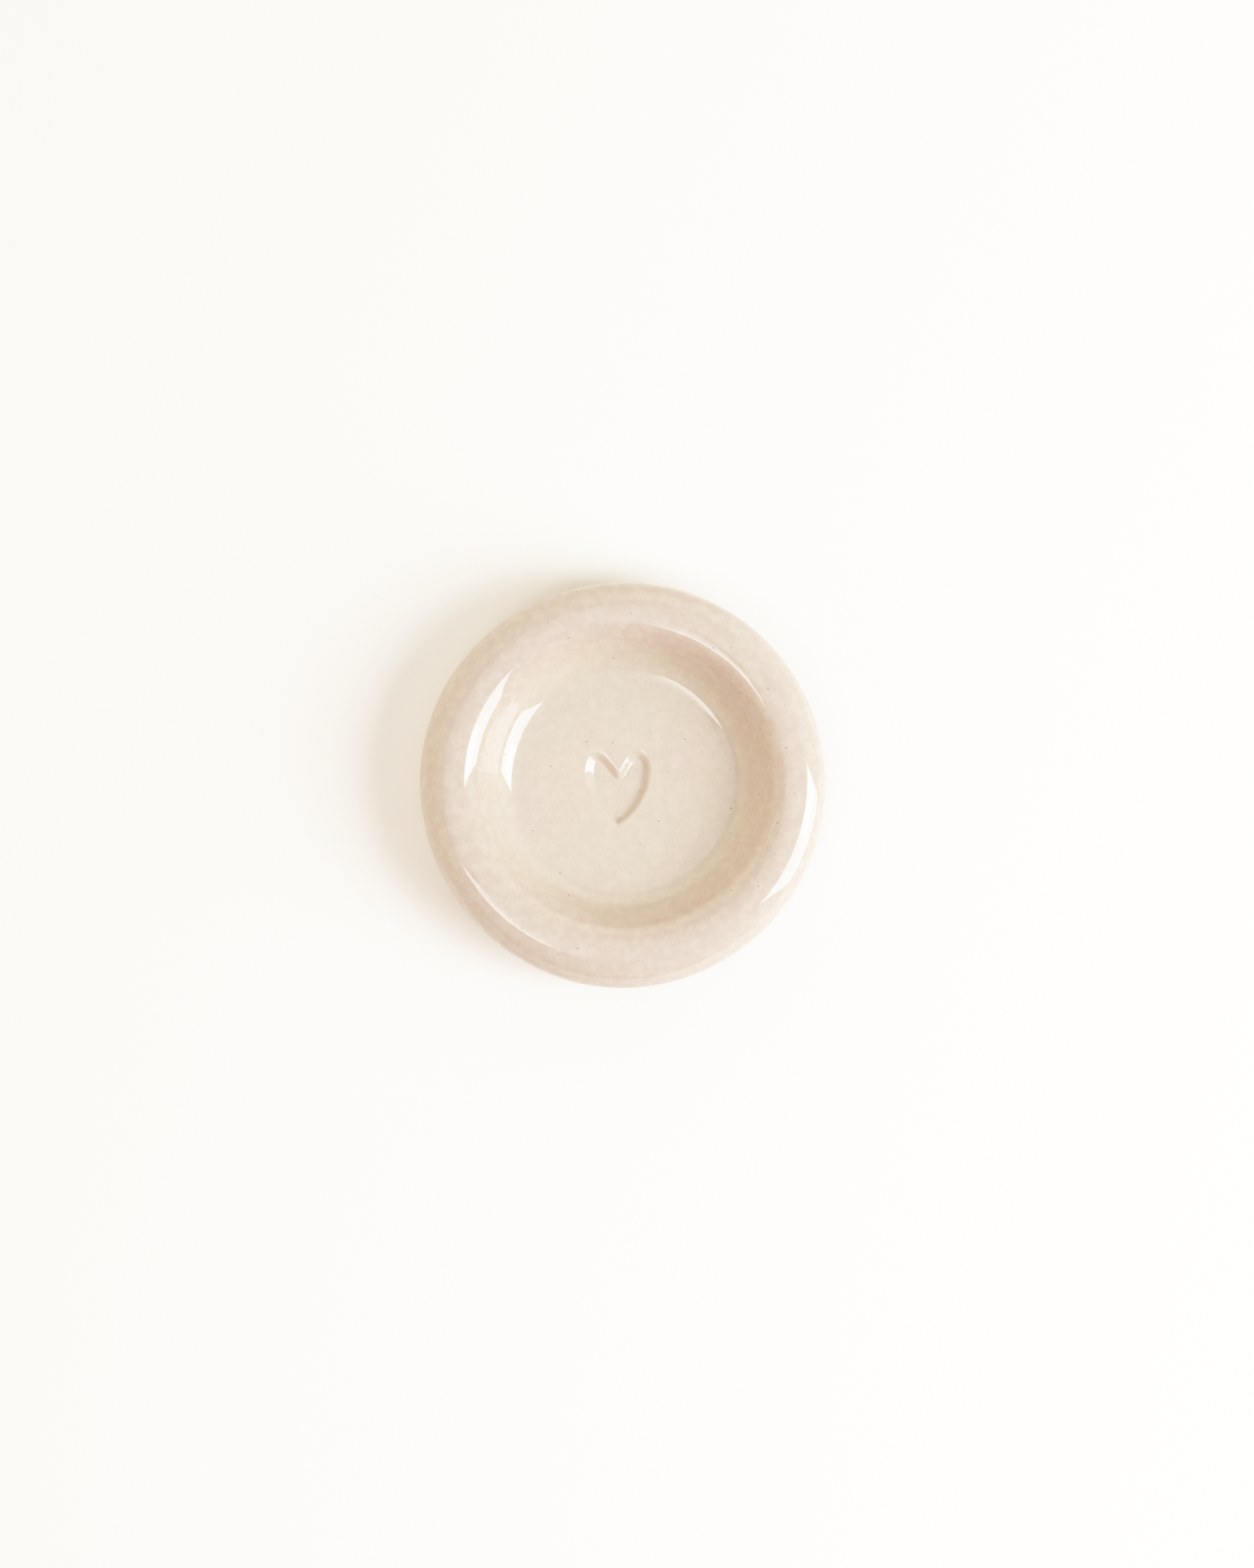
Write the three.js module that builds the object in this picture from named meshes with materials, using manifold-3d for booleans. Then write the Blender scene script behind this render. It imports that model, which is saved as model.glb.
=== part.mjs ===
// Round trinket dish: a shallow bowl with a plump rolled rim and a heart pressed into its floor.
// It is one piece of wheel-thrown stoneware, glazed all over except for the foot ring it stands on.
// Millimetres, +Z up. The origin is the centre of the foot's underside, and the heart's point faces -Y.

import * as THREE from "three";
import { mergeVertices } from "three/addons/utils/BufferGeometryUtils.js";
import Module from "manifold-3d";

// Driving dimensions of the dish
const DISH_R = 50; // widest radius, at the belly
const HEIGHT = 20.5; // table to the crest of the rim
const ROLL_R = 8; // roundness of the rolled rim, from the belly over the crest to the wall
const WALL_SLOPE = 56; // degrees from level, the steepest stretch of the inner wall
const FLOOR_R = 25; // level part of the dish's floor
const FLOOR_FILLET_R = 8; // sweep from the floor up into the wall
const BOWL_DEPTH = 12.6; // crest of the rim to the floor
const UNDER_R = 9.9; // roundness below the belly
const UNDER_SLOPE = 12; // degrees from level, the underside between belly and foot
const FOOT_OUTER_R = 33.5;
const FOOT_INNER_R = 29.5;
const FOOT_RECESS = 1.3; // depth of the hollow inside the foot ring
const FOOT_EDGE_R = 0.5; // softened edges of the foot ring
const SEGMENTS = 80; // facets round the dish
const CURVE_STEP = 12; // most degrees that one facet of the section's large curves may turn
const EDGE_STEP = 45; // the same for the foot ring's small edges

// Driving dimensions of the heart
const HEART_DEPTH = 1.5; // floor of the dish to the bottom of the print
const HEART_STEPS = 4; // bands down the print's soft sides
const HEART_CURVE_POINTS = 6; // points along each of the outline's six curves
const STAMP_CLEARANCE = 1; // how far the stamp stands above the floor, so that it cuts cleanly

// The heart's outline where its sides leave the dish's floor, from the notch round to the left lobe.
// "at" is a place on the outline, and the other pairs steer the curves on either side of it.
const MOUTH = {
  notch: { at: [-1.1, 3.6], right: [-0.6, 5.3], left: [-2.1, 4.7] },
  rightTop: { at: [3.4, 8.7], before: [0.5, 8.5], after: [5.6, 8.9] },
  rightSide: { at: [6.8, 3.9], before: [6.8, 6.2], after: [6.8, -1.2] },
  point: { at: [-1.25, -10.2], right: [3.8, -6.9], left: [-4.6, -8.0] },
  leftSide: { at: [-10.05, 3.0], before: [-9.95, -1.8], after: [-10.05, 5.8] },
  leftTop: { at: [-6.5, 8.6], before: [-8.9, 8.65], after: [-4.1, 8.6] },
};

// The same outline at the bottom of the print: the left side slopes gently, the right side steeply.
const BOTTOM = {
  notch: { at: [-1.3, 0.5], right: [0.1, 0.7], left: [-2.6, 1.7] },
  rightTop: { at: [3.4, 6.0], before: [2.1, 4.9], after: [4.3, 6.6] },
  rightSide: { at: [4.9, 3.2], before: [5.0, 4.9], after: [5.0, -0.4] },
  point: { at: [-1.5, -8.5], right: [2.8, -6.1], left: [-3.9, -5.6] },
  leftSide: { at: [-7.0, 2.6], before: [-7.0, -0.6], after: [-7.0, 4.3] },
  leftTop: { at: [-6.0, 5.6], before: [-6.5, 5.7], after: [-5.3, 5.3] },
};

const GLAZE = new THREE.MeshStandardMaterial({ color: 0xd6c9bb, roughness: 0.12, metalness: 0 });

// Worked-out places on the dish's section
const rad = THREE.MathUtils.degToRad;
const crestR = DISH_R - ROLL_R;
const bellyZ = HEIGHT - ROLL_R;
const floorZ = HEIGHT - BOWL_DEPTH;
const underR = DISH_R - UNDER_R; // centre of the curve below the belly
const underEndR = underR + UNDER_R * Math.sin(rad(UNDER_SLOPE));
const underEndZ = bellyZ - UNDER_R * Math.cos(rad(UNDER_SLOPE));
const footTopZ = underEndZ - (underEndR - FOOT_OUTER_R) * Math.tan(rad(UNDER_SLOPE));

// Points along an arc of the section, from one angle to another, in degrees from the outward direction.
function arc(centreR, centreZ, radius, from, to, turn) {
  const curve = new THREE.EllipseCurve(centreR, centreZ, radius, radius, rad(from), rad(to), to < from);
  return curve.getPoints(Math.ceil(Math.abs(to - from) / turn));
}

// The section, from the underside's centre round the outside and the rim to the floor's centre.
function dishSection() {
  const edge = FOOT_EDGE_R;
  return [
    new THREE.Vector2(0, FOOT_RECESS),
    ...arc(FOOT_INNER_R - edge, FOOT_RECESS - edge, edge, 90, 0, EDGE_STEP),
    ...arc(FOOT_INNER_R + edge, edge, edge, 180, 270, EDGE_STEP),
    ...arc(FOOT_OUTER_R - edge, edge, edge, 270, 360, EDGE_STEP),
    new THREE.Vector2(FOOT_OUTER_R, footTopZ),
    ...arc(underR, bellyZ, UNDER_R, UNDER_SLOPE - 90, 0, CURVE_STEP),
    ...arc(crestR, bellyZ, ROLL_R, 0, 90 + WALL_SLOPE, CURVE_STEP).slice(1),
    ...arc(FLOOR_R, floorZ + FLOOR_FILLET_R, FLOOR_FILLET_R, WALL_SLOPE - 90, -90, CURVE_STEP),
    new THREE.Vector2(0, floorZ),
  ];
}

// The heart's outline: notch to lobe top, lobe top to side, and side to point, on each half.
function heartOutline({ notch, rightTop, rightSide, point, leftSide, leftTop }) {
  const shape = new THREE.Shape();
  shape.moveTo(...notch.at);
  shape.bezierCurveTo(...notch.right, ...rightTop.before, ...rightTop.at);
  shape.bezierCurveTo(...rightTop.after, ...rightSide.before, ...rightSide.at);
  shape.bezierCurveTo(...rightSide.after, ...point.right, ...point.at);
  shape.bezierCurveTo(...point.left, ...leftSide.before, ...leftSide.at);
  shape.bezierCurveTo(...leftSide.after, ...leftTop.before, ...leftTop.at);
  shape.bezierCurveTo(...leftTop.after, ...notch.left, ...notch.at);
  const points = shape.getPoints(HEART_CURVE_POINTS).slice(0, -1);
  return THREE.ShapeUtils.isClockWise(points) ? points.reverse() : points;
}

// A closed body through outlines of equal length, listed from the lowest to the highest.
function loft(rings) {
  const count = rings[0].points.length;
  const positions = rings.flatMap(({ points, z }) => points.flatMap((p) => [p.x, p.y, z]));
  const index = [];
  for (let level = 0; level + 1 < rings.length; level += 1) {
    for (let i = 0; i < count; i += 1) {
      const a = level * count + i;
      const b = level * count + ((i + 1) % count);
      index.push(a, b, b + count, a, b + count, a + count);
    }
  }
  const top = (rings.length - 1) * count;
  for (const [a, b, c] of THREE.ShapeUtils.triangulateShape(rings[0].points, [])) {
    index.push(a, c, b, top + a, top + b, top + c);
  }
  const geometry = new THREE.BufferGeometry();
  geometry.setAttribute("position", new THREE.Float32BufferAttribute(positions, 3));
  geometry.setIndex(index);
  return geometry;
}

// The stamp that prints the heart: sides that sweep smoothly from the print's bottom to its mouth.
function heartStamp() {
  const mouth = heartOutline(MOUTH);
  const bottom = heartOutline(BOTTOM);
  const rings = [];
  for (let step = 0; step <= HEART_STEPS; step += 1) {
    const t = step / HEART_STEPS;
    const rise = THREE.MathUtils.smoothstep(t, 0, 1);
    const points = bottom.map((p, i) => p.clone().lerp(mouth[i], t));
    rings.push({ points, z: floorZ - HEART_DEPTH * (1 - rise) });
  }
  rings.push({ points: mouth, z: floorZ + STAMP_CLEARANCE });
  return loft(rings);
}

const wasm = await Module();
wasm.setup();

// A three.js mesh as a solid that can be cut.
function toSolid(geometry) {
  const bare = geometry.clone();
  bare.deleteAttribute("normal");
  bare.deleteAttribute("uv");
  const merged = mergeVertices(bare);
  const triangles = [];
  const index = merged.index.array;
  for (let i = 0; i < index.length; i += 3) {
    const [a, b, c] = index.slice(i, i + 3);
    if (a !== b && b !== c && c !== a) triangles.push(a, b, c);
  }
  const vertProperties = new Float32Array(merged.attributes.position.array);
  return new wasm.Manifold(new wasm.Mesh({ numProp: 3, vertProperties, triVerts: new Uint32Array(triangles) }));
}

// A solid as a three.js mesh.
function toGeometry(solid) {
  const { vertProperties, triVerts } = solid.getMesh();
  const geometry = new THREE.BufferGeometry();
  geometry.setAttribute("position", new THREE.BufferAttribute(vertProperties, 3));
  geometry.setIndex(new THREE.BufferAttribute(triVerts, 1));
  geometry.computeVertexNormals();
  return geometry;
}

// The dish: the turned body with the heart cut out of its floor.
function dish() {
  const turned = new THREE.LatheGeometry(dishSection(), SEGMENTS).rotateX(Math.PI / 2);
  const printed = toSolid(turned).subtract(toSolid(heartStamp()));
  const mesh = new THREE.Mesh(toGeometry(printed), GLAZE);
  mesh.name = "dish";
  return mesh;
}

const trinketDish = new THREE.Group();
trinketDish.add(dish());

export default trinketDish;
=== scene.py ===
"""A round stoneware trinket dish with a rolled rim and a heart pressed into its floor.

The dish is one fired piece, so it is one mesh: a fine turned surface with the potter's
finger rings, a slightly wavering rim and the soft-edged heart, under one glaze material
that stops short of the bare clay foot ring.
"""

import math

import bpy
import numpy as np
from mathutils import Matrix, Vector


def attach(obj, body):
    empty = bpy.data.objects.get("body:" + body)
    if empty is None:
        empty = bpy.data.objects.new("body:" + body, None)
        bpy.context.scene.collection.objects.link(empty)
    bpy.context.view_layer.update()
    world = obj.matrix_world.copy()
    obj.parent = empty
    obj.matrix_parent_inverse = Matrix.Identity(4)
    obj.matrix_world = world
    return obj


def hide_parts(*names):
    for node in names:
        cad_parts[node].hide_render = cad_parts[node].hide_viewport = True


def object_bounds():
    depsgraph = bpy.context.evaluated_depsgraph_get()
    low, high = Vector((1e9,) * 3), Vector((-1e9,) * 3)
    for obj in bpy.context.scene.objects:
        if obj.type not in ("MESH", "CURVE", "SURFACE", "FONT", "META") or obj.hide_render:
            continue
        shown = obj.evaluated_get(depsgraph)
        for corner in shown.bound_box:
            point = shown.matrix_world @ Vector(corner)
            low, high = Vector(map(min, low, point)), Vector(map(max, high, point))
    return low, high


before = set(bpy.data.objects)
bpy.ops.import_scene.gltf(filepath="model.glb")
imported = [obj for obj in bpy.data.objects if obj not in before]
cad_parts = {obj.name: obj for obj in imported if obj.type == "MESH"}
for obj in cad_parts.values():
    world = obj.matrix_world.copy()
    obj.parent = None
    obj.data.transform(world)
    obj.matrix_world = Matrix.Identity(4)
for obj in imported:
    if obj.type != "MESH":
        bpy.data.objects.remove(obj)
cad_low, cad_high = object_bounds()

MM = 0.001

# The dish's section, as its CAD solid has it. Radius and height come from the frame.
DISH_R = (cad_high.x - cad_low.x) / 2
HEIGHT = cad_high.z
ROLL_R = 8.0 * MM
WALL_SLOPE = math.radians(56)
FLOOR_R = 25 * MM
FLOOR_FILLET_R = 8.0 * MM
BOWL_DEPTH = 12.6 * MM
UNDER_R = 9.9 * MM
UNDER_SLOPE = math.radians(12)
FOOT_OUTER_R = 33.5 * MM
FOOT_INNER_R = 29.5 * MM
FOOT_RECESS = 1.3 * MM
FOOT_EDGE_R = 0.5 * MM

CREST_R = DISH_R - ROLL_R
BELLY_Z = HEIGHT - ROLL_R
FLOOR_Z = HEIGHT - BOWL_DEPTH

# The heart's print, in millimetres from the dish's axis: the outline where its sides leave
# the floor, and the outline at the bottom of its sides.
HEART_DEPTH = 1.5 * MM
HEART_LIP = 0.25 * MM  # how far outside its mouth the print already draws the floor down
# How steep the print's sides are, from the lip's start to the bottom, against their steepest.
HEART_SIDE = ((0.0, 0.0), (0.08, 0.24), (0.25, 0.34), (0.40, 1.0), (0.78, 1.0), (1.0, 0.0))
MOUTH = {
    "notch": {"at": (-1.1, 3.6), "right": (-0.6, 5.3), "left": (-2.1, 4.7)},
    "right_top": {"at": (3.4, 8.7), "before": (0.5, 8.5), "after": (5.6, 8.9)},
    "right_side": {"at": (6.8, 3.9), "before": (6.8, 6.2), "after": (6.8, -1.2)},
    "point": {"at": (-1.25, -10.2), "right": (3.8, -6.9), "left": (-4.6, -8.0)},
    "left_side": {"at": (-10.05, 3.0), "before": (-9.95, -1.8), "after": (-10.05, 5.8)},
    "left_top": {"at": (-6.5, 8.6), "before": (-8.9, 8.65), "after": (-4.1, 8.6)},
}
BOTTOM = {
    "notch": {"at": (-1.3, 0.5), "right": (0.1, 0.7), "left": (-2.6, 1.7)},
    "right_top": {"at": (3.4, 6.0), "before": (2.1, 4.9), "after": (4.3, 6.6)},
    "right_side": {"at": (4.9, 3.2), "before": (5.0, 4.9), "after": (5.0, -0.4)},
    "point": {"at": (-1.5, -8.5), "right": (2.8, -6.1), "left": (-3.9, -5.6)},
    "left_side": {"at": (-7.0, 2.6), "before": (-7.0, -0.6), "after": (-7.0, 4.3)},
    "left_top": {"at": (-6.0, 5.6), "before": (-6.5, 5.7), "after": (-5.3, 5.3)},
}
HEART_GRID_HALF = 13 * MM
HEART_GRID_STEP = 0.1 * MM
HEART_BLUR = 0.12 * MM

# How finely the surface is drawn: facets round the dish, and the length of one along the section.
SEGMENTS = 384
EDGE_STEP = 0.2 * MM  # the foot ring's edges, and the floor under the heart
FINE_FLOOR_R = 12.6 * MM  # how far out the floor is drawn that finely
FLOOR_STEP = 0.42 * MM
FILLET_STEP = 0.4 * MM
WALL_STEP = 0.5 * MM
ROLL_STEP = 0.45 * MM
UNDER_STEP = 0.6 * MM
SLOPE_STEP = 0.8 * MM
RECESS_STEP = 2.4 * MM

# The rim is a little warped: it dips by twice this, midway between its two high places.
SADDLE = 0.5 * MM
SADDLE_HIGH = math.radians(25)

# The potter's finger rings on the wall, and the slow unevenness of a hand-shaped surface.
FINGER_PITCH = 2.3 * MM
FINGER_HEIGHT = 0.003 * MM
FINGER_DRIFT = 1.3  # how far a ring strays round the dish, in radians of its own wave
SWELL = 0.02 * MM
SWELL_TWIST = 30 * MM  # the second swell turns by one radian over this much of the section

# How far the widest edge waves in and out, three and four times round, about a slightly smaller circle.
EDGE_WAVE_3 = 0.16 * MM
EDGE_WAVE_4 = 0.085 * MM
EDGE_IN = 0.1 * MM

# The dish was shaped by hand, so its rings aren't true circles about one axis. Each row: a ring's
# radius, how far its centre sits off the axis in X and Y, how oval it is, and where it is longest.
RINGS = (
    (0.0, 0.0, 0.0, 0.0, 0),
    (24.9, 0.2, 0.9, 0.4, 45),
    (36.5, 0.3, 0.8, 0.1, -25),
    (40.1, 0.1, -0.4, 0.3, -50),
    (42.0, 0.0, 0.05, 0.0, 0),
    (44.3, 0.25, 0.3, 0.3, 10),
    (47.8, 0.45, 0.35, 0.3, 25),
    (50.0, 0.0, 0.0, 0.0, 0),
)


# ---------------------------------------------------------------- the turned surface


def arc(centre, radius, start, end, step):
    """Points on an arc of the section, angles from the outward direction, both ends included."""
    count = max(2, math.ceil(abs(end - start) * radius / step))
    return [
        (centre[0] + radius * math.cos(a), centre[1] + radius * math.sin(a))
        for a in np.linspace(start, end, count + 1)
    ]


def line(start, end, step):
    """Points on a straight stretch, both ends left out."""
    count = max(1, math.ceil(math.dist(start, end) / step))
    return [
        (start[0] + (end[0] - start[0]) * t, start[1] + (end[1] - start[1]) * t)
        for t in np.linspace(0, 1, count + 1)[1:-1]
    ]


def section():
    """The dish's section from the floor's centre over the rim to the middle of the underside."""
    quarter = math.pi / 2
    edge = FOOT_EDGE_R
    fillet_centre = (FLOOR_R, FLOOR_Z + FLOOR_FILLET_R)
    fillet = arc(fillet_centre, FLOOR_FILLET_R, -quarter, WALL_SLOPE - quarter, FILLET_STEP)
    roll = arc((CREST_R, BELLY_Z), ROLL_R, quarter + WALL_SLOPE, 0, ROLL_STEP)
    under = arc((DISH_R - UNDER_R, BELLY_Z), UNDER_R, 0, UNDER_SLOPE - quarter, UNDER_STEP)[1:]
    slope_in = under[-1]
    foot_top = (FOOT_OUTER_R, slope_in[1] - (slope_in[0] - FOOT_OUTER_R) * math.tan(UNDER_SLOPE))
    outer_edge = arc((FOOT_OUTER_R - edge, edge), edge, 0, -quarter, EDGE_STEP)
    inner_edge = arc((FOOT_INNER_R + edge, edge), edge, -quarter, -2 * quarter, EDGE_STEP)
    recess_edge = arc((FOOT_INNER_R - edge, FOOT_RECESS - edge), edge, 0, quarter, EDGE_STEP)
    points = [(0, FLOOR_Z)]
    points += line(points[-1], (FINE_FLOOR_R, FLOOR_Z), EDGE_STEP)
    points += [(FINE_FLOOR_R, FLOOR_Z)]
    points += line(points[-1], fillet[0], FLOOR_STEP)
    points += fillet
    points += line(fillet[-1], roll[0], WALL_STEP)
    points += roll + under
    points += line(slope_in, foot_top, SLOPE_STEP)
    points += [foot_top]
    points += line(foot_top, outer_edge[0], EDGE_STEP)
    points += outer_edge
    points += line(outer_edge[-1], inner_edge[0], UNDER_STEP)
    points += inner_edge
    points += line(inner_edge[-1], recess_edge[0], EDGE_STEP)
    points += recess_edge
    points += line(recess_edge[-1], (0, FOOT_RECESS), RECESS_STEP)
    points += [(0, FOOT_RECESS)]
    return np.array(points)


def smooth(x, low, high):
    """0 below low, 1 above high, and a smooth step between."""
    t = np.clip((x - low) / (high - low), 0, 1)
    return t * t * (3 - 2 * t)


def waves(angle, seed, harmonics, size):
    """A smooth closed wave round the dish, from a few harmonics with seeded strengths and phases."""
    random = np.random.RandomState(seed)
    total = np.zeros_like(angle)
    for n in harmonics:
        strength = random.uniform(0.5, 1.0) / n
        phase = random.uniform(0, 2 * math.pi)
        total += strength * np.cos(n * angle + phase)
    return size * total


def ring_shift(radius, upper, angle):
    """How far the section moves outwards at each radius and angle, blended between the RINGS."""
    rings = np.array(RINGS)
    at = rings[:, 0] * MM
    long_axis = 2 * np.radians(rings[:, 4])
    parts = (rings[:, 1], rings[:, 2], rings[:, 3] * np.cos(long_axis), rings[:, 3] * np.sin(long_axis))
    turns = (np.cos(angle), np.sin(angle), np.cos(2 * angle), np.sin(2 * angle))
    softener = np.hanning(9)[1:-1] / np.hanning(9).sum()
    reach = len(softener) // 2
    shift = 0
    for part, turn in zip(parts, turns):
        size = np.interp(radius, at, part) * upper * MM
        size = np.convolve(np.pad(size, reach, mode="edge"), softener, mode="valid")
        shift = shift + size[:, None] * turn[None, :]
    return shift


# ---------------------------------------------------------------- the heart


def bezier(a, b, c, d, count=40):
    t = np.linspace(0, 1, count, endpoint=False)[:, None]
    a, b, c, d = (np.array(p) * MM for p in (a, b, c, d))
    return (1 - t) ** 3 * a + 3 * (1 - t) ** 2 * t * b + 3 * (1 - t) * t * t * c + t**3 * d


def heart_outline(h):
    """The closed outline: notch to lobe top, lobe top to side, and side to point, on each half."""
    notch, point = h["notch"], h["point"]
    right_top, right_side = h["right_top"], h["right_side"]
    left_side, left_top = h["left_side"], h["left_top"]
    return np.vstack([
        bezier(notch["at"], notch["right"], right_top["before"], right_top["at"]),
        bezier(right_top["at"], right_top["after"], right_side["before"], right_side["at"]),
        bezier(right_side["at"], right_side["after"], point["right"], point["at"]),
        bezier(point["at"], point["left"], left_side["before"], left_side["at"]),
        bezier(left_side["at"], left_side["after"], left_top["before"], left_top["at"]),
        bezier(left_top["at"], left_top["after"], notch["left"], notch["at"]),
    ])


def signed_distance(outline, x, y):
    """Distance from points to a closed outline, positive inside it."""
    nearest = np.full(x.shape, np.inf)
    inside = np.zeros(x.shape, bool)
    for (ax, ay), (bx, by) in zip(outline, np.roll(outline, -1, axis=0)):
        dx, dy = bx - ax, by - ay
        t = np.clip(((x - ax) * dx + (y - ay) * dy) / (dx * dx + dy * dy), 0, 1)
        nearest = np.minimum(nearest, np.hypot(x - ax - t * dx, y - ay - t * dy))
        if dy:
            crosses = (ay > y) != (by > y)
            inside ^= crosses & (x < ax + (y - ay) * dx / dy)
    return np.where(inside, nearest, -nearest)


def side_depth(t):
    """Share of the print's depth that its side has reached, t of the way down from the lip."""
    place = np.linspace(0, 1, 201)
    steepness = np.interp(place, *zip(*HEART_SIDE))
    depth = np.concatenate([[0], np.cumsum((steepness[1:] + steepness[:-1]) / 2)])
    return np.interp(t, place, depth / depth[-1])


def blurred(field, sigma):
    """The field after a Gaussian blur, sigma in grid steps."""
    reach = math.ceil(3 * sigma)
    kernel = np.exp(-0.5 * (np.arange(-reach, reach + 1) / sigma) ** 2)
    kernel /= kernel.sum()
    for axis in (0, 1):
        field = np.apply_along_axis(np.convolve, axis, field, kernel, mode="same")
    return field


def heart_depths():
    """The print's depth on a square grid over the middle of the floor."""
    steps = round(2 * HEART_GRID_HALF / HEART_GRID_STEP)
    along = np.linspace(-HEART_GRID_HALF, HEART_GRID_HALF, steps + 1)
    x, y = np.meshgrid(along, along)
    from_lip = np.maximum(signed_distance(heart_outline(MOUTH), x, y) + HEART_LIP, 0)
    from_bottom = np.maximum(-signed_distance(heart_outline(BOTTOM), x, y), 0)
    t = from_lip / np.maximum(from_lip + from_bottom, 1e-9)
    return blurred(HEART_DEPTH * side_depth(t), HEART_BLUR / HEART_GRID_STEP)


def sampled(field, x, y):
    """The heart grid's value at points, by straight-line interpolation, and 0 off the grid."""
    last = field.shape[0] - 1.001
    u = (x + HEART_GRID_HALF) / HEART_GRID_STEP
    v = (y + HEART_GRID_HALF) / HEART_GRID_STEP
    on_grid = (u > 0) & (u < last) & (v > 0) & (v < last)
    u, v = np.clip(u, 0, last), np.clip(v, 0, last)
    i, j = u.astype(int), v.astype(int)
    fu, fv = u - i, v - j
    top = field[j, i] * (1 - fu) + field[j, i + 1] * fu
    bottom = field[j + 1, i] * (1 - fu) + field[j + 1, i + 1] * fu
    return np.where(on_grid, top * (1 - fv) + bottom * fv, 0)


# ---------------------------------------------------------------- the dish


def dish_mesh():
    profile = section()
    step = np.gradient(profile, axis=0)
    length = np.hypot(step[:, 0], step[:, 1])
    normal_r, normal_z = -step[:, 1] / length, step[:, 0] / length
    along = np.concatenate([[0], np.cumsum(np.hypot(*np.diff(profile, axis=0).T))])
    angle = np.linspace(0, 2 * math.pi, SEGMENTS, endpoint=False)
    r, z = profile[:, 0][:, None], profile[:, 1][:, None]
    a = angle[None, :]

    # how much each height takes part: the foot ring not at all, the rim wholly
    standing = smooth(z, 0.6 * MM, 7 * MM)
    upper = (np.arange(len(profile)) < np.argmax(profile[:, 0]))[:, None]

    # the potter's finger rings: faint ridges up the wall, fading over the rim
    drift = waves(a, 3, (1, 2, 3), FINGER_DRIFT)
    fingers = np.sin(2 * math.pi * along[:, None] / FINGER_PITCH + drift)
    finger_place = upper * smooth(r, 25 * MM, 32 * MM) * (1 - smooth(r, 36 * MM, 42 * MM))
    relief = FINGER_HEIGHT * finger_place * fingers

    # slow unevenness of a hand-shaped wall, which makes the reflections waver
    swell = waves(a, 5, (5, 7, 9), SWELL)
    second = waves(a + along[:, None] / SWELL_TWIST, 8, (4, 6, 11), SWELL)
    relief = relief + standing * smooth(r, 24 * MM, 34 * MM) * (swell + second)

    # the outside isn't quite round, nor the rim quite level
    edge = EDGE_WAVE_3 * np.cos(3 * a - 1.9) + EDGE_WAVE_4 * np.cos(4 * a + 0.9) - EDGE_IN
    wander = edge * standing * smooth(r, 46 * MM, DISH_R)
    wander = wander + ring_shift(profile[:, 0], upper[:, 0], angle)
    dip = SADDLE * (1 - np.cos(2 * (a - SADDLE_HIGH))) * smooth(r, 26 * MM, 42 * MM) * standing

    out = r + wander + relief * normal_r[:, None]
    x = out * np.cos(a)
    y = out * np.sin(a)
    heart = sampled(heart_depths(), x, y) * (upper & (r < HEART_GRID_HALF))
    height = z - dip + relief * normal_z[:, None] - heart
    height = np.broadcast_to(height, x.shape)

    rings_count = len(profile)
    inner = np.stack([x, y, height], axis=-1)[1:-1].reshape(-1, 3)
    top = [0, 0, height[0].mean()]
    bottom = [0, 0, height[-1].mean()]
    verts = np.vstack([inner, top, bottom])
    faces = []
    for k in range(rings_count - 3):
        for s in range(SEGMENTS):
            n = (s + 1) % SEGMENTS
            row, below = k * SEGMENTS, (k + 1) * SEGMENTS
            faces.append((row + s, below + s, below + n, row + n))
    last = (rings_count - 3) * SEGMENTS
    apex, nadir = len(inner), len(inner) + 1
    for s in range(SEGMENTS):
        n = (s + 1) % SEGMENTS
        faces.append((apex, s, n))
        faces.append((nadir, last + n, last + s))
    mesh = bpy.data.meshes.new("dish_stoneware")
    mesh.from_pydata(verts.tolist(), [], faces)
    mesh.shade_smooth()
    mesh.update()
    return mesh


# ---------------------------------------------------------------- materials

GLAZE_IOR = 1.6  # mirrors a little more than window glass does


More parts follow.
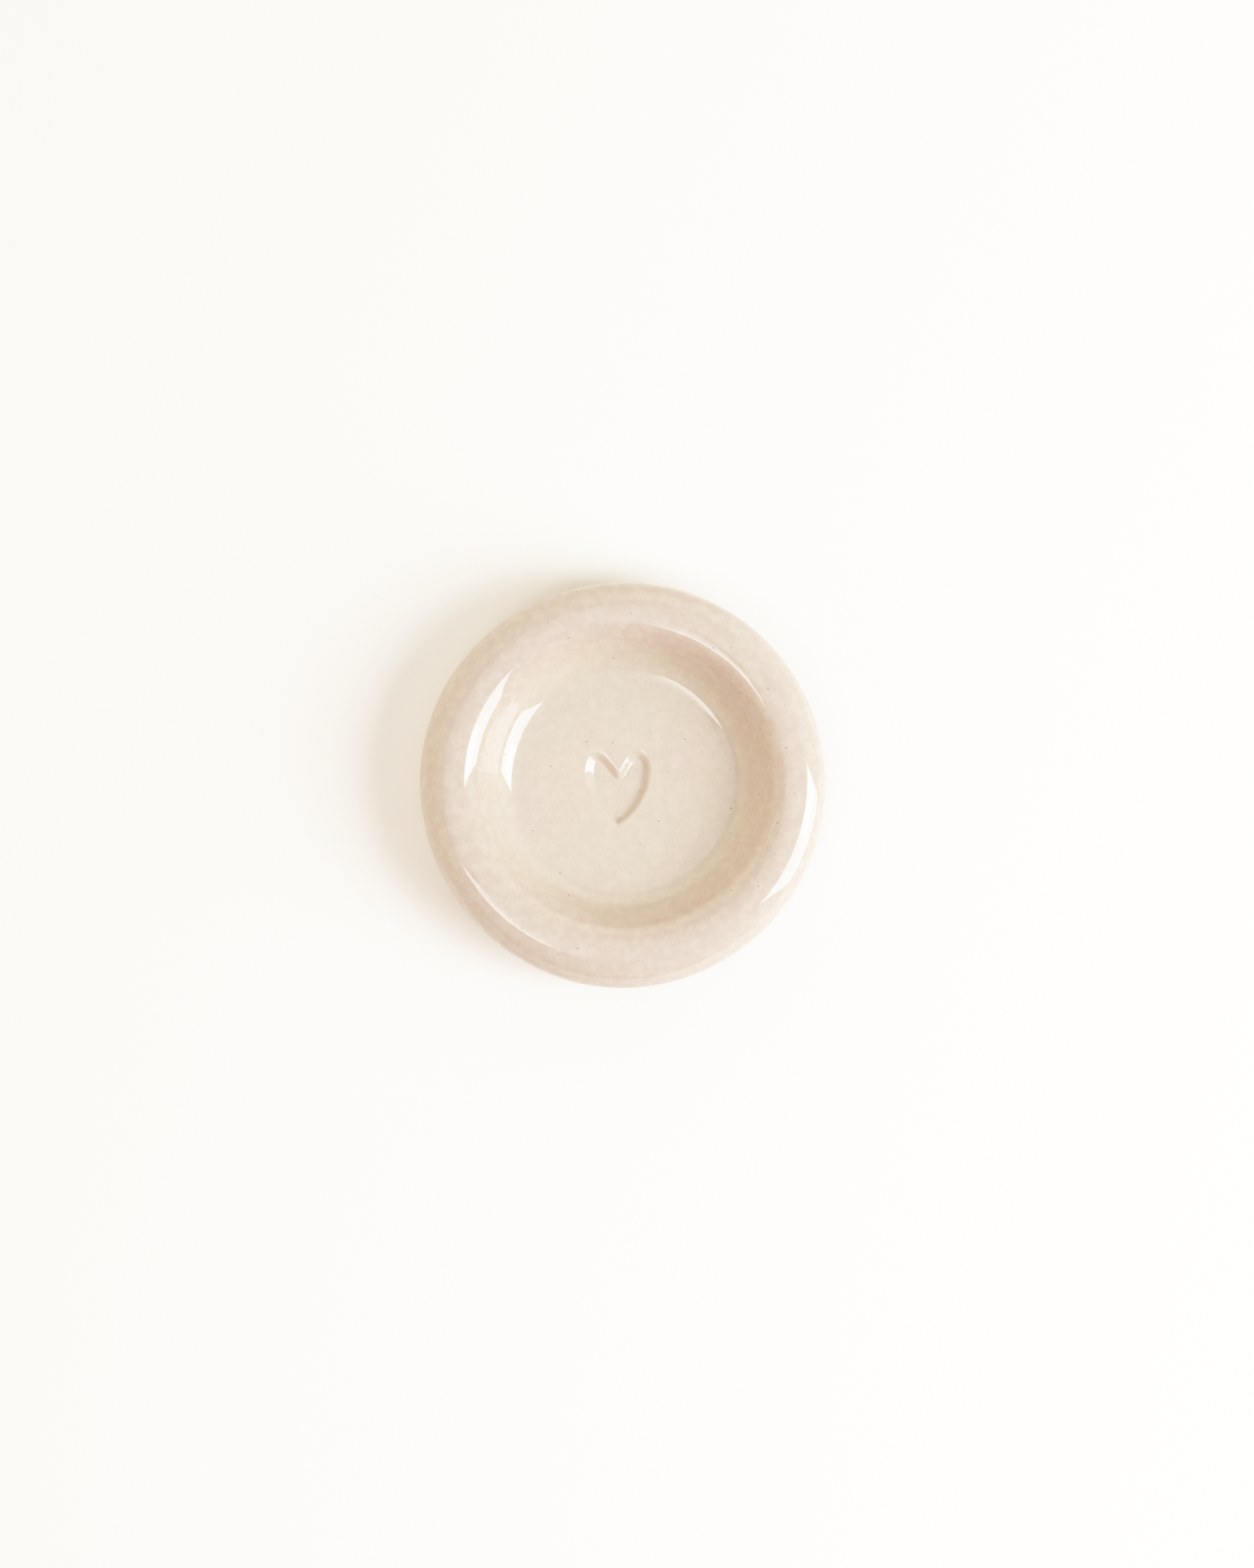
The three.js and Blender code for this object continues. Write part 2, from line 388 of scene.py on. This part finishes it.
class Nodes:
    """Short calls for building a material's nodes."""

    def __init__(self, material):
        material.use_nodes = True
        self.tree = material.node_tree
        self.tree.nodes.clear()

    def add(self, kind, inputs=None, **settings):
        node = self.tree.nodes.new(kind)
        for name, value in settings.items():
            setattr(node, name, value)
        for name, value in (inputs or {}).items():
            if isinstance(value, bpy.types.NodeSocket):
                self.tree.links.new(value, node.inputs[name])
            else:
                node.inputs[name].default_value = value
        return node

    def maths(self, operation, a, b=0.0, clamp=False):
        return self.add("ShaderNodeMath", {0: a, 1: b}, operation=operation, use_clamp=clamp).outputs[0]

    def ramp(self, value, low, high, out_low=0.0, out_high=1.0):
        return self.add(
            "ShaderNodeMapRange",
            {"Value": value, "From Min": low, "From Max": high, "To Min": out_low, "To Max": out_high},
            interpolation_type="SMOOTHSTEP",
        ).outputs[0]

    def sharp(self, value, low, high, out_low=0.0, out_high=1.0):
        return self.add(
            "ShaderNodeMapRange",
            {"Value": value, "From Min": low, "From Max": high, "To Min": out_low, "To Max": out_high},
        ).outputs[0]

    def mix(self, share, a, b, blend="MIX"):
        node = self.add("ShaderNodeMix", data_type="RGBA", blend_type=blend)
        for name, value in (("Factor_Float", share), ("A_Color", a), ("B_Color", b)):
            socket = next(s for s in node.inputs if s.identifier == name)
            if isinstance(value, bpy.types.NodeSocket):
                self.tree.links.new(value, socket)
            else:
                socket.default_value = value
        return next(s for s in node.outputs if s.identifier == "Result_Color")

    def noise(self, place, scale, detail=3.0, roughness=0.5):
        return self.add(
            "ShaderNodeTexNoise",
            {"Vector": place, "Scale": scale, "Detail": detail, "Roughness": roughness},
        ).outputs["Fac"]

    def spots(self, place, scale, small, large):
        """1 in small round spots, one to a cell, each of its own size, and 0 between them."""
        cells = self.add("ShaderNodeTexVoronoi", {"Vector": place, "Scale": scale, "Randomness": 1.0})
        dice = self.add("ShaderNodeSeparateColor", {"Color": cells.outputs["Color"]})
        radius = self.ramp(dice.outputs["Red"], 0.35, 1.0, small * scale, large * scale)
        share = self.maths("DIVIDE", cells.outputs["Distance"], self.maths("MAXIMUM", radius, 0.001))
        return self.ramp(share, 0.55, 1.0, 1.0, 0.0)


def srgb(red, green, blue):
    """A colour given as 0-255 display values, as the linear colour a shader takes."""
    def linear(c):
        c /= 255
        return c / 12.92 if c <= 0.04045 else ((c + 0.055) / 1.055) ** 2.4
    return (linear(red), linear(green), linear(blue), 1.0)


def blended(n, share, a, b):
    """A number that goes from a to b with the share."""
    node = n.add("ShaderNodeMix", data_type="FLOAT")
    for name, value in (("Factor_Float", share), ("A_Float", a), ("B_Float", b)):
        socket = next(s for s in node.inputs if s.identifier == name)
        if isinstance(value, bpy.types.NodeSocket):
            n.tree.links.new(value, socket)
        else:
            socket.default_value = value
    return next(s for s in node.outputs if s.identifier == "Result_Float")


def glaze_colour(n, place, height, radius, specks, pinholes_and_glints):
    """Creamy beige that drifts in tone, with mottle, iron specks and pinholes in it; the pinholes' pale
    spots are painted glints.
    """
    drift = n.ramp(n.noise(place, 38.0, 2.0), 0.3, 0.7)
    glaze = n.mix(drift, srgb(214, 198, 184), srgb(212, 200, 184))

    # duller on the rim, darker and yellower on the inner wall, and darker round the widest part
    rim = n.ramp(height, 10 * MM, 18 * MM)
    glaze = n.mix(rim, glaze, srgb(205, 188, 176))
    inner_wall_from = n.ramp(radius, 26 * MM, 32 * MM)
    inner_wall_to = n.ramp(radius, 36 * MM, 41 * MM, 0.14, 0.0)
    glaze = n.mix(n.maths("MULTIPLY", inner_wall_from, inner_wall_to), glaze, srgb(200, 165, 130))
    round_widest = n.ramp(radius, 46 * MM, 50 * MM, 0.0, 0.4)
    glaze = n.mix(round_widest, glaze, srgb(190, 170, 156))

    mottle = n.ramp(n.noise(place, 1500.0, 3.0, 0.7), 0.3, 0.7)
    glaze = n.mix(n.maths("MULTIPLY", mottle, 0.30), glaze, srgb(196, 179, 163))
    clouds = n.ramp(n.noise(place, 420.0, 3.0, 0.6), 0.4, 0.65)
    glaze = n.mix(n.maths("MULTIPLY", clouds, 0.26), glaze, srgb(226, 212, 198))

    glaze = n.mix(n.maths("MULTIPLY", specks, 0.55), glaze, srgb(120, 98, 80))
    dots = n.spots(place, 900.0, -0.10 * MM, 0.17 * MM)
    glaze = n.mix(n.maths("MULTIPLY", dots, 0.42), glaze, srgb(140, 118, 98))
    # the pinholes' pale colour is a painted glint
    return n.mix(n.maths("MULTIPLY", pinholes_and_glints, 0.5), glaze, srgb(240, 231, 220))


def clay_colour(n, place, grain):
    """Sandy bare clay with darker grog in it."""
    clay = n.mix(grain, srgb(190, 164, 134), srgb(214, 192, 163))
    grog = n.spots(place, 800.0, -0.1 * MM, 0.3 * MM)
    return n.mix(n.maths("MULTIPLY", grog, 0.7), clay, srgb(132, 104, 78))


def glazed_stoneware():
    material = bpy.data.materials.new("glazed_stoneware")
    n = Nodes(material)
    place = n.add("ShaderNodeTexCoord").outputs["Object"]
    parts = n.add("ShaderNodeSeparateXYZ", {"Vector": place})
    height = parts.outputs["Z"]
    flat = n.add("ShaderNodeCombineXYZ", {"X": parts.outputs["X"], "Y": parts.outputs["Y"]})
    radius = n.add("ShaderNodeVectorMath", {0: flat.outputs[0]}, operation="LENGTH").outputs["Value"]

    # iron specks that melted through from the clay, and pinholes, whose pale spots are painted glints
    specks = n.spots(place, 450.0, -0.14 * MM, 0.30 * MM)
    elsewhere = n.add("ShaderNodeVectorMath", {0: place, 1: (0.31, 0.17, 0.23)}).outputs[0]
    pinholes_and_glints = n.spots(elsewhere, 600.0, -0.12 * MM, 0.22 * MM)
    glaze = glaze_colour(n, place, height, radius, specks, pinholes_and_glints)

    # bare clay on the foot ring: the glaze was wiped off in a slightly wandering line
    wander = n.maths("MULTIPLY", n.noise(place, 120.0, 2.0), 0.5 * MM)
    low = n.ramp(n.maths("ADD", height, wander), 0.95 * MM, 1.15 * MM, 1.0, 0.0)
    past_hollow = n.ramp(radius, FOOT_INNER_R - 0.2 * MM, FOOT_INNER_R)
    bare = n.maths("MULTIPLY", low, past_hollow)
    clay_grain = n.ramp(n.noise(place, 1400.0, 5.0, 0.7), 0.3, 0.7)
    colour = n.mix(bare, glaze, clay_colour(n, place, clay_grain))

    # gloss: near mirror-smooth glaze, duller on a speck, and matt clay
    wear = n.ramp(n.noise(place, 260.0, 3.0), 0.3, 0.7, 0.02, 0.035)
    dulled = n.maths("ADD", wear, n.maths("MULTIPLY", specks, 0.12))
    roughness = blended(n, bare, dulled, 0.78)

    # fine relief: the glaze's faint ripple, pinholes, and the grit of the bare foot
    ripple = n.maths("MULTIPLY", n.noise(place, 110.0, 1.0), 0.015 * MM)
    pits = n.maths("MULTIPLY", n.maths("ADD", specks, pinholes_and_glints), -0.02 * MM)
    grit = n.maths("MULTIPLY", n.maths("MULTIPLY", clay_grain, bare), 0.10 * MM)
    relief = n.maths("ADD", n.maths("ADD", ripple, pits), grit)
    bump = n.add("ShaderNodeBump", {"Height": relief, "Strength": 1.0, "Distance": 1.0})

    shader = n.add(
        "ShaderNodeBsdfPrincipled",
        {"Base Color": colour, "Roughness": roughness, "Normal": bump.outputs[0], "IOR": GLAZE_IOR},
    )
    n.add("ShaderNodeOutputMaterial", {"Surface": shader.outputs[0]})
    return material


def table_white():
    material = bpy.data.materials.new("table_white")
    n = Nodes(material)
    place = n.add("ShaderNodeTexCoord").outputs["Object"]
    tone = n.ramp(n.noise(place, 3.0, 2.0), 0.3, 0.7)
    colour = n.mix(tone, srgb(253, 249, 244), srgb(254, 250, 246))
    shader = n.add("ShaderNodeBsdfPrincipled", {"Base Color": colour, "Roughness": 0.85, "IOR": 1.3})
    n.add("ShaderNodeOutputMaterial", {"Surface": shader.outputs[0]})
    return material


# ---------------------------------------------------------------- stage, light and camera

# All sizes here are in metres.
TABLE_SIZE = 6.0

# The softbox: the middles of its upper and lower edges, before it is turned about the dish.
SOFTBOX_TURN = math.radians(2)
SOFTBOX_UPPER = Vector((0.6875, -0.2915, 1.0))
SOFTBOX_LOWER = Vector((1.3385, -0.497, 0.128))
SOFTBOX_SIDE = 66.9  # the compass direction along its edges, in degrees
SOFTBOX_SHIFT = -0.005
SOFTBOX_WIDTH = 0.70
LAMP_SHIFT = 0.17  # its own lamp shines through brighter in a patch to one side
LAMP_WIDTH = 0.3

# The room overhead, as places on a ceiling one unit above the dish.
CANOPY_R = 0.65
ARCH_X, ARCH_Y, ARCH_R = -0.62, 0.56, 0.84  # the arched rod's outside
ROD_WIDTH = 0.045

# How far above the dish's widest part the camera is, and what the picture's long side spans there.
CAMERA_RISE = 1.2
PICTURE_SPAN = 0.3858


def table():
    bpy.ops.mesh.primitive_plane_add(size=TABLE_SIZE, location=(0, 0, cad_low.z))
    plane = bpy.context.object
    plane.name = "table"
    plane.data.materials.append(table_white())


def direction(azimuth, zenith):
    """Unit vector towards a place in the sky, angles in degrees, azimuth from +X towards +Y."""
    a, t = math.radians(azimuth), math.radians(zenith)
    return Vector((math.cos(a) * math.sin(t), math.sin(a) * math.sin(t), math.cos(t)))


def panel(name, upper, lower, side, width, glow):
    """A flat rectangular light between the middles of its upper and lower edges, facing the dish."""
    light = bpy.data.lights.new(name, "AREA")
    light.shape = "RECTANGLE"
    height = (upper - lower).length
    light.size, light.size_y = width, height
    light.color = [part / max(glow) for part in glow]
    light.energy = max(glow) * math.pi * width * height
    lamp = bpy.data.objects.new(name, light)
    up = (upper - lower).normalized()
    across = side.normalized()
    facing = across.cross(up).normalized()
    middle = (upper + lower) / 2
    if facing.dot(middle) < 0:
        facing, across = -facing, -across
    rotation = [[across[i], up[i], facing[i]] for i in range(3)]
    lamp.matrix_world = Matrix.LocRotScale(middle, Matrix(rotation), None)
    lamp.visible_camera = False
    bpy.context.scene.collection.objects.link(lamp)
    return lamp


# How brightly each part of the room glows, in red, green and blue.
LIGHTS = {
    "softbox": (6.3, 6.6, 7.0),
    "softbox_lamp": (4.2, 4.4, 4.8),
    "canopy": (1.05, 1.01, 1.05),
    "canopy_far": (0.30, 0.29, 0.22),
    "upper_east": (0.37, 0.37, 0.37),
    "upper_north": (0.54, 0.48, 0.46),
    "upper_west": (0.50, 0.43, 0.38),
    "upper_south": (0.40, 0.33, 0.33),
    "wall_east": (0.45, 0.68, 0.57),
    "wall_north": (1.50, 1.37, 1.17),
    "wall_west": (1.32, 1.21, 0.87),
    "wall_south": (0.60, 0.40, 0.32),
    "reflector": (6.0, 5.9, 5.9),
    "reflector_end": (1.80, 1.85, 1.85),
}


def sky_shares(n):
    """What part of the room each direction shows, as a 0-1 share by name."""
    sky = n.add("ShaderNodeTexCoord").outputs["Generated"]
    parts = n.add("ShaderNodeSeparateXYZ", {"Vector": sky})
    east, north, up = parts.outputs

    def product(*factors):
        total = factors[0]
        for factor in factors[1:]:
            total = n.maths("MULTIPLY", total, factor)
        return total

    def flipped(share):
        return n.maths("SUBTRACT", 1.0, share)

    # where a direction meets a level ceiling one unit above the dish, and how far from overhead
    height = n.maths("MAXIMUM", up, 0.01)
    x, y = n.maths("DIVIDE", east, height), n.maths("DIVIDE", north, height)
    overhead = n.maths("SQRT", n.maths("ADD", product(x, x), product(y, y)))

    # the round canopy overhead, which is bright on its near side
    canopy = n.sharp(overhead, CANOPY_R - 0.01, CANOPY_R + 0.01, 1.0, 0.0)
    near = n.ramp(x, -0.05, 0.45, 1.0, 0.0)

    # the reflector hangs in the canopy's south-west, behind an arched dark rod
    arch_x, arch_y = n.maths("SUBTRACT", x, ARCH_X), n.maths("SUBTRACT", y, ARCH_Y)
    arch = n.maths("SQRT", n.maths("ADD", product(arch_x, arch_x), product(arch_y, arch_y)))
    beyond = n.sharp(arch, ARCH_R - 0.005, ARCH_R + 0.005)
    past_rod = n.sharp(arch, ARCH_R - ROD_WIDTH - 0.005, ARCH_R - ROD_WIDTH + 0.005)
    right_end = n.sharp(n.maths("SUBTRACT", x, n.maths("MULTIPLY", y, 0.4)), 0.0, 0.1, 1.0, 0.0)
    off_centre = n.ramp(y, -0.12, -0.04, 1.0, 0.0)
    reflector = product(canopy, beyond, right_end, off_centre)
    rod = product(past_rod, flipped(beyond), n.sharp(x, -0.10, -0.06, 1.0, 0.0))
    end = product(n.ramp(x, -0.35, 0.05, 1.0, 0.0), n.ramp(overhead, 0.1, 0.55))
    open_canopy = product(canopy, flipped(reflector), flipped(rod))

    # the room's walls, by compass point, low down and higher up
    level = n.maths("SQRT", n.maths("ADD", product(east, east), product(north, north)))
    level = n.maths("MAXIMUM", level, 0.01)
    low = n.ramp(up, 0.57, 0.74, 1.0, 0.0)
    shares = {
        "canopy": product(open_canopy, near),
        "canopy_far": product(open_canopy, flipped(near)),
        "reflector": product(reflector, end),
        "reflector_end": product(reflector, flipped(end)),
    }
    walls = (("east", east, 1), ("north", north, 1), ("west", east, -1), ("south", north, -1))
    for point, axis, sign in walls:
        facing = n.maths("MAXIMUM", n.maths("DIVIDE", n.maths("MULTIPLY", axis, sign), level), 0.0)
        share = product(facing, facing, flipped(canopy))
        horizon = n.ramp(up, 0.02, 0.16) if point in ("east", "south") else 1.0
        shares["wall_" + point] = product(share, low, horizon)
        shares["upper_" + point] = product(share, flipped(low))
    return shares


def room():
    world = bpy.data.worlds.new("studio")
    bpy.context.scene.world = world
    n = Nodes(world)
    total = (0.0, 0.0, 0.0, 1.0)
    for name, share in sky_shares(n).items():
        glow = n.mix(share, (0.0, 0.0, 0.0, 1.0), (*LIGHTS[name], 1.0))
        total = n.mix(1.0, total, glow, "ADD")
    plain = (0.94, 0.93, 0.91, 1.0)  # what shows behind the table in a low view
    seen = n.add("ShaderNodeLightPath").outputs["Is Camera Ray"]
    background = n.add("ShaderNodeBackground", {"Color": n.mix(seen, total, plain), "Strength": 1.0})
    n.add("ShaderNodeOutputWorld", {"Surface": background.outputs[0]})


def lights():
    turn = Matrix.Rotation(SOFTBOX_TURN, 3, "Z")
    upper, lower = turn @ SOFTBOX_UPPER, turn @ SOFTBOX_LOWER
    side = turn @ direction(SOFTBOX_SIDE, 90)
    shift = side * SOFTBOX_SHIFT
    panel("softbox", upper + shift, lower + shift, side, SOFTBOX_WIDTH, LIGHTS["softbox"])
    shift = side * LAMP_SHIFT
    middle = (upper + lower) / 2
    panel("softbox_lamp", upper + shift, middle + shift, side, LAMP_WIDTH, LIGHTS["softbox_lamp"])
    room()


def exposure():
    """A high-key picture: even up to light grey, then a soft shoulder that keeps the whites open."""
    settings = bpy.context.scene.view_settings
    settings.view_transform = "Standard"
    settings.use_curve_mapping = True
    mapping = settings.curve_mapping
    brightest = 1.6
    mapping.white_level = (brightest,) * 3
    curve = mapping.curves[3]
    for level, shown in ((0.5, 0.5), (0.7, 0.69), (0.85, 0.80), (1.0, 0.88), (1.15, 0.94), (1.3, 0.97)):
        curve.points.new(level / brightest, shown)
    curve.points[-1].location = (1.0, 1.0)
    mapping.update()


def camera():
    """Straight above the dish, far enough back that its sides don't show."""
    data = bpy.data.cameras.new("camera")
    data.sensor_width = 36
    data.lens = data.sensor_width * CAMERA_RISE / PICTURE_SPAN
    cam = bpy.data.objects.new("camera", data)
    cam.location = (0.96 * MM, 0.19 * MM, BELLY_Z + CAMERA_RISE)
    bpy.context.scene.collection.objects.link(cam)
    bpy.context.scene.camera = cam


dish = bpy.data.objects.new("dish_stoneware", dish_mesh())
dish.data.materials.append(glazed_stoneware())
bpy.context.scene.collection.objects.link(dish)
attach(dish, "root")
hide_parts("dish")

table()
lights()
camera()
exposure()

bpy.context.view_layer.update()
